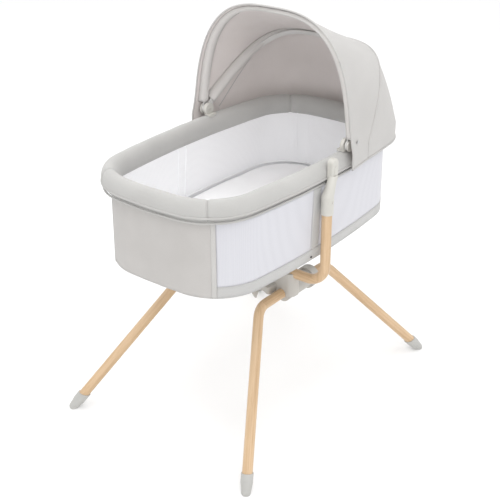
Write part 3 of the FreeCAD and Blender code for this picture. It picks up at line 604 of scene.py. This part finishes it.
def rim_length(name, turn_0, turn_1, seed):
    """One sewn length of padded rim between two seams."""
    line = RIM.inset(PAD_HALF)
    start, stop = line.distance(turn_0), line.distance(turn_1)
    if stop < start:
        stop += line.marks[-1][1]
    count = max(24, int((stop - start) / 0.006))
    middle = (RIM_LOW + RIM_HIGH) / 2
    rows = []
    for i in range(count + 1):
        along = start + (stop - start) * i / count
        p, n = line.point(line.turn_at(along))
        edge = min(along - start, stop - along)
        pull = 1.0 - 0.085 * math.exp(-(edge / 0.0045) ** 2) - 0.02 * math.exp(-(edge / 0.02) ** 2)
        row = []
        for k in range(RIM_RING):
            across, z = rim_profile(k, RIM_RING)
            x, y = p.x + n.x * across * pull, p.y + n.y * across * pull
            z = middle + (z - middle) * pull
            soft = smooth_noise((x, y, z), 0.055, seed) * 0.9 * MM
            pucker = math.sin(along / 0.0042) * smooth_noise((x, y, 0), 0.03, seed + 3) * 0.35 * MM
            outward = 1 if across > 0 else -1
            x += n.x * outward * (soft + pucker * (z < middle))
            y += n.y * outward * (soft + pucker * (z < middle))
            row.append(Vector((x, y, z + soft * 0.6)))
        rows.append(row)
    return grid_object(name, rows, M["rim"], close_cols=True, caps=True)


def make_rim():
    """Four lengths of padded rim with their seams and the piping below."""
    line = RIM.inset(PAD_HALF)
    head_far, head_near = line.turn_at_x(SEAM_X, 1), line.turn_at_x(SEAM_X, -1)
    foot_far, foot_near = line.turn_at_x(-SEAM_X, 1), line.turn_at_x(-SEAM_X, -1)
    spans = {"head": (head_near, head_far), "far": (head_far, foot_far),
             "foot": (foot_far, foot_near), "near": (foot_near, head_near)}
    for seed, (name, (first, last)) in enumerate(spans.items()):
        piece = rim_length("rim_cover_" + name, first, last, seed * 5.0)
        place(settle(piece), "basket", "rim_fabric", "rim_pad_" + name)
    for name, height, gap, radius in (("rim_piping_upper", PIPING_Z, 1.0 * MM, PIPING_R),
                                      ("rim_piping_lower", RIM_LOW + 7 * MM, 5.0 * MM, 2.6 * MM)):
        outline = RIM.inset(gap)
        points = []
        total = outline.marks[-1][1]
        for i in range(PIPING_POINTS):
            p, _ = outline.point(outline.turn_at(total * i / PIPING_POINTS))
            wave = smooth_noise((p.x, p.y, height), 0.06, radius * 1000) * 0.7 * MM
            points.append(Vector((p.x, p.y, height + wave)))
        piping = tube_along(name, points, radius, M["rim"], closed=True)
        place(settle(piping), "basket", "rim_fabric", *(["rim_piping"] if "upper" in name else []))


make_rim()


# ------------------------------------------------------------------ skirt

def skirt_line(z, first, last, count, offset, sag=0.0, seed=0.0):
    """Points along the skirt at one height. first and last are (x, side) places."""
    outline = skirt_outline(z)
    start = outline.distance(outline.turn_at_x(*first))
    stop = outline.distance(outline.turn_at_x(*last))
    if stop < start:
        stop += outline.marks[-1][1]
    points = []
    for i in range(count + 1):
        p, n = outline.point(outline.turn_at(start + (stop - start) * i / count))
        out = offset + sag * smooth_noise((p.x, p.y, z), 0.11, seed)
        points.append(Vector((p.x + n.x * out, p.y + n.y * out, z)))
    return points


def skirt_piece(name, first, last, low, high, material, count,
                offset=0.0, sag=0.0, thickness=1.2 * MM, seed=0.0):
    """Sheet of the skirt between two places and two heights."""
    steps = max(2, int((high - low) / 0.008))
    lines = [skirt_line(low + (high - low) * k / steps, first, last, count, offset, sag, seed)
             for k in range(steps + 1)]
    return sheet_between(name, lines, material, thickness)


def make_skirt():
    """Foot and head panels, mesh windows, strips, bands and bindings."""
    low, high = FLOOR_Z + 1 * MM, SKIRT_TOP_Z + HEM_RISE
    foot = skirt_piece("foot_cloth", (FOOT_EDGE_X, 1), (FOOT_EDGE_X, -1), low, high, M["panel"], 110,
                       sag=1.2 * MM, seed=2.0)
    place(settle(foot), "basket", "panel_fabric", "foot_panel")
    head = skirt_piece("head_cloth", (HEAD_EDGE_X, -1), (HEAD_EDGE_X, 1), low, high, M["panel"], 90,
                       sag=1.2 * MM, seed=4.0)
    place(settle(head), "basket", "panel_fabric", "head_panel")
    for side_name, side in (("near", -1), ("far", 1)):
        def ordered(a, b):
            return ((a, side), (b, side)) if side < 0 else ((b, side), (a, side))
        for end_name, a, b in (("foot", FOOT_EDGE_X, STRIP_LOW_X), ("head", STRIP_HIGH_X, HEAD_EDGE_X)):
            window = skirt_piece("mesh_%s_%s" % (end_name, side_name), *ordered(a, b), BAND_TOP_Z, high,
                                 M["mesh"], 60, offset=-0.6 * MM, sag=0.8 * MM, thickness=0.9 * MM,
                                 seed=side + a)
            place(settle(window), "basket", "mesh_fabric", "mesh_window_%s_%s" % (end_name, side_name))
        strip = skirt_piece("strip_" + side_name, *ordered(STRIP_LOW_X, STRIP_HIGH_X), BAND_TOP_Z, high,
                            M["band"], 10, offset=0.2 * MM, thickness=1.6 * MM)
        place(settle(strip), "basket", "binding_fabric", "side_strip_" + side_name)
        half = WINDOW_TAPE / 2
        for label, x in (("foot", FOOT_EDGE_X - half), ("head", HEAD_EDGE_X + half)):
            tape = skirt_piece("tape_%s_%s" % (label, side_name), *ordered(x - half, x + half),
                               low, high, M["binding"], 4, offset=0.9 * MM, thickness=1.4 * MM)
            place(settle(tape), "basket", "binding_fabric")
        band = skirt_piece("band_" + side_name, *ordered(FOOT_EDGE_X, HEAD_EDGE_X), low,
                           BAND_TOP_Z + 2 * MM, M["band"], 160,
                           offset=0.7 * MM, sag=0.5 * MM, thickness=1.8 * MM)
        place(settle(band), "basket", "panel_fabric", *(["bottom_band"] if side > 0 else []))


make_skirt()


# ------------------------------------------------------------------ lining and mattress

def lining_outline(z):
    """Inner face of the white lining at a height."""
    share = (z - FLOOR_Z) / (SKIRT_TOP_Z - FLOOR_Z)
    return FLOOR.inset(LINING_GAP).mixed(RIM.inset(2 * PAD_HALF - 7 * MM), share)


def make_lining():
    """White inner wall, softly sagging between its seams, and its seam cords."""
    low, high = MATTRESS_LOW_Z, SKIRT_TOP_Z + LINING_RISE
    steps, count = 26, 360
    lines = []
    for k in range(steps + 1):
        z = low + (high - low) * k / steps
        outline = lining_outline(z)
        total = outline.marks[-1][1]
        line = []
        for i in range(count):
            p, n = outline.point(outline.turn_at(total * i / count))
            fade = math.sin(math.pi * k / steps)
            out = fade * 1.8 * MM * smooth_noise((p.x, p.y, z * 0.6), 0.09, 7.0)
            line.append(Vector((p.x + n.x * out, p.y + n.y * out, z)))
        lines.append(line)
    lining = grid_object("lining_cloth", lines, M["lining"], close_cols=True)
    solidify(lining, LINING_SHEET, offset=1.0)
    place(settle(lining), "basket", "lining_fabric", "basket_lining")
    seams = ((-SEAM_X, 1), (-SEAM_X, -1), (SEAM_X, 1), (SEAM_X, -1),
             (STRIP_LOW_X, 1), (STRIP_HIGH_X, 1), (STRIP_LOW_X, -1), (STRIP_HIGH_X, -1))
    for index, (x, side) in enumerate(seams):
        points = []
        for k in range(24):
            z = low + 2 * MM + (high - low - 3 * MM) * k / 23
            outline = lining_outline(z)
            p, n = outline.point(outline.turn_at_x(x, side))
            points.append(Vector((p.x - n.x * 0.6 * MM, p.y - n.y * 0.6 * MM, z)))
        seam = tube_along("lining_seam_%d" % index, points, 0.9 * MM, M["lining"], sides=8, flat=1.6)
        place(settle(seam), "basket", "lining_fabric")


make_lining()


def make_mattress():
    """Crowned pad swollen by a short cloth simulation, with piped edges."""
    line = FLOOR.inset(MATTRESS_GAP)
    low, high = MATTRESS_LOW_Z + 4 * MM, MATTRESS_HIGH_Z - 4 * MM
    total = line.marks[-1][1]
    count = 120
    rows = []
    for share, z in ((0.0, low), (0.02, low), (0.02, high), (0.0, high)):
        row = []
        for i in range(count):
            p, n = line.point(line.turn_at(total * i / count))
            row.append(Vector((p.x - n.x * share * 0.1, p.y - n.y * share * 0.1, z)))
        rows.append(row)
    verts = [p for row in rows for p in row]
    faces = []
    for i in range(3):
        for j in range(count):
            faces.append((i * count + j, i * count + (j + 1) % count, (i + 1) * count + (j + 1) % count,
                          (i + 1) * count + j))
    faces.append(tuple(reversed(range(count))))
    faces.append(tuple(3 * count + j for j in range(count)))
    pad = new_object("mattress_pad", verts, faces, M["mattress"])
    remesh = pad.modifiers.new("voxels", "REMESH")
    remesh.mode = "VOXEL"
    remesh.voxel_size = MATTRESS_VOXEL
    apply_modifiers(pad)
    before = [v.co.copy() for v in pad.data.vertices]
    swell(pad, 4.0, 16)
    for vertex, start in zip(pad.data.vertices, before):
        move = vertex.co - start
        if move.length > MATTRESS_SWELL:
            vertex.co = start + move.normalized() * MATTRESS_SWELL
    for polygon in pad.data.polygons:
        polygon.use_smooth = True
    smooth = pad.modifiers.new("soft", "SMOOTH")
    smooth.factor = 0.5
    smooth.iterations = 3
    apply_modifiers(pad)
    pad.data.materials.clear()
    pad.data.materials.append(M["mattress"])
    place(pad, "basket", "mattress_fabric", "mattress")
    for index, z in enumerate((low + 2 * MM, high)):
        points = []
        for i in range(240):
            p, n = line.point(line.turn_at(total * i / 240))
            points.append(Vector((p.x + n.x * 3.2 * MM, p.y + n.y * 3.2 * MM, z)))
        piping = tube_along("mattress_piping_%d" % index, points, 2.2 * MM, M["mattress"], closed=True)
        place(piping, "basket", "mattress_fabric")


def swell(obj, pressure, frames):
    """Inflate a closed mesh as cloth for a few frames and keep the result."""
    cloth = obj.modifiers.new("cloth", "CLOTH")
    settings = cloth.settings
    settings.use_pressure = True
    settings.uniform_pressure_force = pressure
    settings.effector_weights.gravity = 0.0
    settings.tension_stiffness = 30
    settings.compression_stiffness = 30
    settings.bending_stiffness = 2.0
    for number in range(1, frames + 1):
        scene.frame_set(number)
    apply_modifiers(obj)
    scene.frame_set(1)


make_mattress()


# ------------------------------------------------------------------ hood

# Tilt back from the vertical, power of the arch's curve, narrowing towards its top
FRONT_TILT, FRONT_POWER, FRONT_TAPER = math.radians(1), 3.0, 0.10
CREASE_TILT, CREASE_POWER, CREASE_TAPER = math.radians(40), 4.2, 0.20
BOWS = (("front_bow", 0.0, 3.0, 0.1), ("mid_bow", math.radians(50), 4.0, 0.2))
HOOD_BASE_Z = RIM_HIGH
ARCH_COUNT = 96
FRONT_ROWS, REAR_ROWS, HEM_STEPS = 28, 26, 6
HOOD_SHEET = 1.4 * MM
FRONT_SKEW = 6 * MM     # the visor sits this much further back on the near side, forward on the far side
FLARE = 8 * MM           # the visor's corners stand off the rim by this much
BOW_DEPTH = 3 * MM       # from a bow's outer face to its inner one
SLEEVE_HALF = 12 * MM    # half the width of the casing sewn over a bow
SLEEVE_END = 30 * MM     # the casings stop this far above the rim
# Casing's section over a bow: share of its half width, and depth inward of the bow in millimetres
SLEEVE_SECTION = ((-1.0, 1.0), (-0.55, 2.6), (0.0, 3.2), (0.55, 2.6), (1.0, 1.0))
FOOT_OF_VISOR = 90 * MM  # the visor flares over this height above the rim


def hood_half_width(x):
    """Half width of the hood's base outline at a place along it."""
    return HOOD.width - HOOD.side_r + math.sqrt(HOOD.side_r ** 2 - x ** 2)


def arch(base_x, tilt, top_z, power, taper, grow=0.0):
    """Points of an arch from +Y to -Y, in a plane tilted back from the vertical."""
    rise = (top_z - HOOD_BASE_Z) / math.cos(tilt) + grow
    width = hood_half_width(base_x) + grow
    points = []
    for i in range(ARCH_COUNT + 1):
        turn = math.pi * i / ARCH_COUNT
        sine = math.sin(turn) if 0 < i < ARCH_COUNT else 0.0
        up = rise * sine ** (2 / power)
        c = math.cos(turn)
        y = width * math.copysign(abs(c) ** (2 / power), c) * (1 - taper * up / rise)
        points.append(Vector((base_x + up * math.sin(tilt), y, HOOD_BASE_Z + up * math.cos(tilt))))
    return even(points)


def even(points):
    """The same line with its points at even spacing."""
    steps = [0.0]
    for a, b in zip(points, points[1:]):
        steps.append(steps[-1] + (b - a).length)
    places = np.linspace(0, steps[-1], len(points))
    columns = [np.interp(places, steps, [p[k] for p in points]) for k in range(3)]
    return [Vector(c) for c in zip(*columns)]


def hem_curve():
    """Hood's base line round the head end, from +Y to -Y."""
    start = HOOD.distance(HOOD.turn_at_x(CREASE_X, 1))
    stop = -start
    points = []
    for i in range(ARCH_COUNT + 1):
        p, _ = HOOD.point(HOOD.turn_at(start + (stop - start) * i / ARCH_COUNT))
        points.append(Vector((p.x, p.y, HOOD_BASE_Z)))
    return points


def skewed(points):
    """Visor line turned a little about the vertical, with its lower ends flared outward."""
    moved = []
    for p in points:
        low = max(0.0, 1 - (p.z - HOOD_BASE_Z) / FOOT_OF_VISOR)
        side = p.y / HOOD.width
        moved.append(Vector((p.x - FRONT_SKEW * side, p.y + math.copysign(FLARE * low ** 2, p.y), p.z)))
    return moved


FRONT_ARCH = skewed(arch(HOOD_FRONT_X, FRONT_TILT, HOOD_TOP_Z, FRONT_POWER, FRONT_TAPER))
CREASE_ARCH = arch(CREASE_X, CREASE_TILT, CREASE_TOP_Z, CREASE_POWER, CREASE_TAPER)
HEM_CURVE = hem_curve()


def hem_drop(point, share, lift=0.0):
    """Point on the strip that hangs outside the rim, a share of the way down."""
    low = HOOD_HEM_Z + lift
    return Vector((point.x, point.y, HOOD_BASE_Z + (low - HOOD_BASE_Z) * share))


def front_lines(steps):
    """Lines of the front panel from the visor to the crease, each with its hanging ends."""
    lines = []
    for k in range(steps + 1):
        u = k / steps
        line = []
        for a, b in zip(FRONT_ARCH, CREASE_ARCH):
            p = a.lerp(b, u)
            centre = Vector((p.x, 0, HOOD_BASE_Z))
            inward = (centre - p).normalized()
            height = max(0.0, min(1.0, (p.z - HOOD_BASE_Z) / 0.12))
            sag = 5.0 * MM * math.sin(math.pi * u) * height
            sag += 1.6 * MM * smooth_noise(p, 0.12, 11.0) * math.sin(math.pi * min(1, u * 1.02)) * height
            line.append(p + inward * sag)
        left = [hem_drop(line[0], s / HEM_STEPS) for s in range(HEM_STEPS, 0, -1)]
        right = [hem_drop(line[-1], s / HEM_STEPS) for s in range(1, HEM_STEPS + 1)]
        lines.append(left + line + right)
    return lines


def rear_lines(steps):
    """Lines of the rear panel from the crease to the hem, then down outside the rim."""
    lines = []
    for k in range(steps + 1):
        v = k / steps
        line = []
        for a, b in zip(CREASE_ARCH, HEM_CURVE):
            p = a.lerp(b, v)
            spread = (b - a).length
            centre = Vector((CREASE_X, 0, HOOD_BASE_Z - 0.05))
            inward = (centre - p).normalized()
            sag = -6.0 * MM * math.sin(math.pi * v) * min(1.0, spread / 0.15)
            sag += 2.0 * MM * smooth_noise(p, 0.1, 17.0) * math.sin(math.pi * v) * min(1.0, spread / 0.1)
            line.append(p + inward * sag)
        lines.append(line)
    for s in range(1, HEM_STEPS + 1):
        lines.append([hem_drop(p, s / HEM_STEPS) for p in lines[steps]])
    return lines


def hood_sheet(name, lines):
    """Hood panel with its lighter outside and darker inside."""
    obj = grid_object(name, lines, M["canopy"])
    fix_normals_outward(obj)
    obj.data.materials.append(M["canopy_inside"])
    return solidify(obj, HOOD_SHEET, offset=-1.0, material_offset=1)


def fix_normals_outward(obj):
    """Turn a hood panel's faces so that they look away from the hood's middle."""
    centre = Vector((0.2, 0, 0.8))
    score = sum((p.center - centre).dot(p.normal) * p.area for p in obj.data.polygons)
    if score < 0:
        obj.data.flip_normals()


def crease_side(piece):
    """Bake a rear piece's placement into its mesh."""
    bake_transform(piece)


def front_side(piece):
    """Bake a front piece's placement into its mesh."""
    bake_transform(piece)


def hood_cord(name, points, radius, material):
    """Cord sewn along the hood, settled with it."""
    return settle(tube_along(name, points, radius, material, sides=8))


def bow_line(node, tilt, power, taper):
    """Inner face of a bow from +Y to -Y, with the outward direction at each point."""
    low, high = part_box(node)
    lean = Vector((math.sin(tilt), 0, math.cos(tilt)))
    rise = (high.z - PIVOT.z) / math.cos(tilt) - BOW_DEPTH
    width = high.y - BOW_DEPTH
    line = []
    for i in range(ARCH_COUNT + 1):
        turn = math.pi * i / ARCH_COUNT
        up = rise * max(math.sin(turn), 0.0) ** (2 / power)
        c = math.cos(turn)
        y = width * math.copysign(abs(c) ** (2 / power), c) * (1 - taper * up / rise)
        line.append(PIVOT + lean * up + Vector((0, y, 0)))
    return [p for p in even(line) if p.z > HOOD_BASE_Z + SLEEVE_END]


def sleeve(name, line, tilt, hood_tree, material):
    """Sewn casing that wraps a bow against the inside of the hood."""
    across = Vector((math.cos(tilt), 0, -math.sin(tilt)))
    rows = []
    for p in line:
        into = (Vector((p.x, 0, HOOD_BASE_Z + 0.06)) - p).normalized()
        row = []
        for step, depth in SLEEVE_SECTION:
            row.append(p + across * SLEEVE_HALF * step + into * depth * MM)
        for end in (0, -1):
            edge = row[end] + across * (SLEEVE_HALF * 0.5 * (1 if end else -1))
            row[end] = hood_tree.find_nearest(edge)[0] + into * 1.2 * MM
        rows.append(row)
    return grid_object(name, rows, material)


def hood_trim(front, rear, hood_tree):
    """Visor binding, crease piping, hem bindings and bow sleeves."""
    visor = hood_cord("visor_binding", front[0], 2.6 * MM, M["canopy"])
    place(visor, "front_bow_body", "binding_fabric")
    crease = hood_cord("crease_piping", CREASE_ARCH, 2.2 * MM, M["canopy"])
    place(crease, "mid_bow_body", "binding_fabric")
    hem = hood_cord("rear_hem_binding", rear[-1], 2.2 * MM, M["canopy"])
    place(hem, "basket", "binding_fabric")
    for index, end in enumerate((0, -1)):
        edge = [line[end] for line in front]
        side_hem = hood_cord("front_hem_binding_%d" % index, edge, 2.2 * MM, M["canopy"])
        front_side(side_hem)
    for name, tilt, power, taper in BOWS:
        casing = sleeve(name + "_sleeve", bow_line(name, tilt, power, taper), tilt, hood_tree, M["sleeve"])
        solidify(casing, 1.0 * MM)
        place(casing, name + "_body", "binding_fabric")


def hood_surface(*sheets):
    """Search tree over the hood's sheets."""
    verts, faces = [], []
    for obj in sheets:
        base = len(verts)
        verts += [v.co.copy() for v in obj.data.vertices]
        faces += [[base + i for i in p.vertices] for p in obj.data.polygons]
    return BVHTree.FromPolygons(verts, faces)


def make_hood():
    """Hood panels, seams and bindings."""
    front_rows, rear_rows = front_lines(FRONT_ROWS), rear_lines(REAR_ROWS)
    front = hood_sheet("hood_front", front_rows)
    settle(front)
    front_side(front)
    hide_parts("canopy_front_panel")
    rear = hood_sheet("hood_rear", rear_rows)
    settle(rear)
    crease_side(rear)
    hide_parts("canopy_rear_panel")
    hood_trim(front_rows, rear_rows, hood_surface(front, rear))


make_hood()


# ------------------------------------------------------------------ studio

# Name, place, size and power of each soft light
LIGHTS = (("key", (-2.6, -3.2, 3.6), 2.6, 60), ("fill", (3.2, -2.2, 2.4), 2.5, 18),
          ("back", (0.6, 3.2, 3.0), 2.5, 25), ("top", (-0.5, 0.0, 2.8), 1.6, 16))
CAMERA_PLACE = (-2.1597, -1.6471, 1.8022)
CAMERA_AIM = (0.7075, 0.5442, -0.4509)   # direction in which the camera looks
CAMERA_LENS = 76.54                      # millimetres, on a sensor 36 mm wide
FLOOR_HALF = 30


def make_studio():
    """Pale floor, soft lights and the camera."""
    floor_mesh = bpy.data.meshes.new("floor")
    corners = [(x * FLOOR_HALF, y * FLOOR_HALF, 0) for x, y in ((-1, -1), (1, -1), (1, 1), (-1, 1))]
    floor_mesh.from_pydata(corners, [], [(0, 1, 2, 3)])
    floor = bpy.data.objects.new("floor", floor_mesh)
    scene.collection.objects.link(floor)
    material, tree, shader = start_material("floor_paint")
    shader.inputs["Base Color"].default_value = (0.93, 0.93, 0.93, 1)
    shader.inputs["Roughness"].default_value = 0.9
    floor_mesh.materials.append(material)
    world = bpy.data.worlds.new("studio")
    world.use_nodes = True
    world.node_tree.nodes["Background"].inputs["Color"].default_value = (1, 1, 1, 1)
    world.node_tree.nodes["Background"].inputs["Strength"].default_value = 1.0
    scene.world = world
    for name, location, size, power in LIGHTS:
        light = bpy.data.lights.new(name, "AREA")
        light.size = size
        light.energy = power
        lamp = bpy.data.objects.new(name, light)
        scene.collection.objects.link(lamp)
        lamp.location = location
        aim = Vector((0, 0, 0.6)) - Vector(location)
        lamp.rotation_euler = aim.to_track_quat("-Z", "Y").to_euler()
    scene.view_settings.view_transform = "Standard"
    camera_data = bpy.data.cameras.new("camera")
    camera_data.sensor_width = 36.0
    camera_data.lens = CAMERA_LENS
    camera_data.clip_end = 60
    camera = bpy.data.objects.new("camera", camera_data)
    scene.collection.objects.link(camera)
    camera.location = CAMERA_PLACE
    camera.rotation_euler = Vector(CAMERA_AIM).to_track_quat("-Z", "Y").to_euler()
    scene.camera = camera


make_studio()
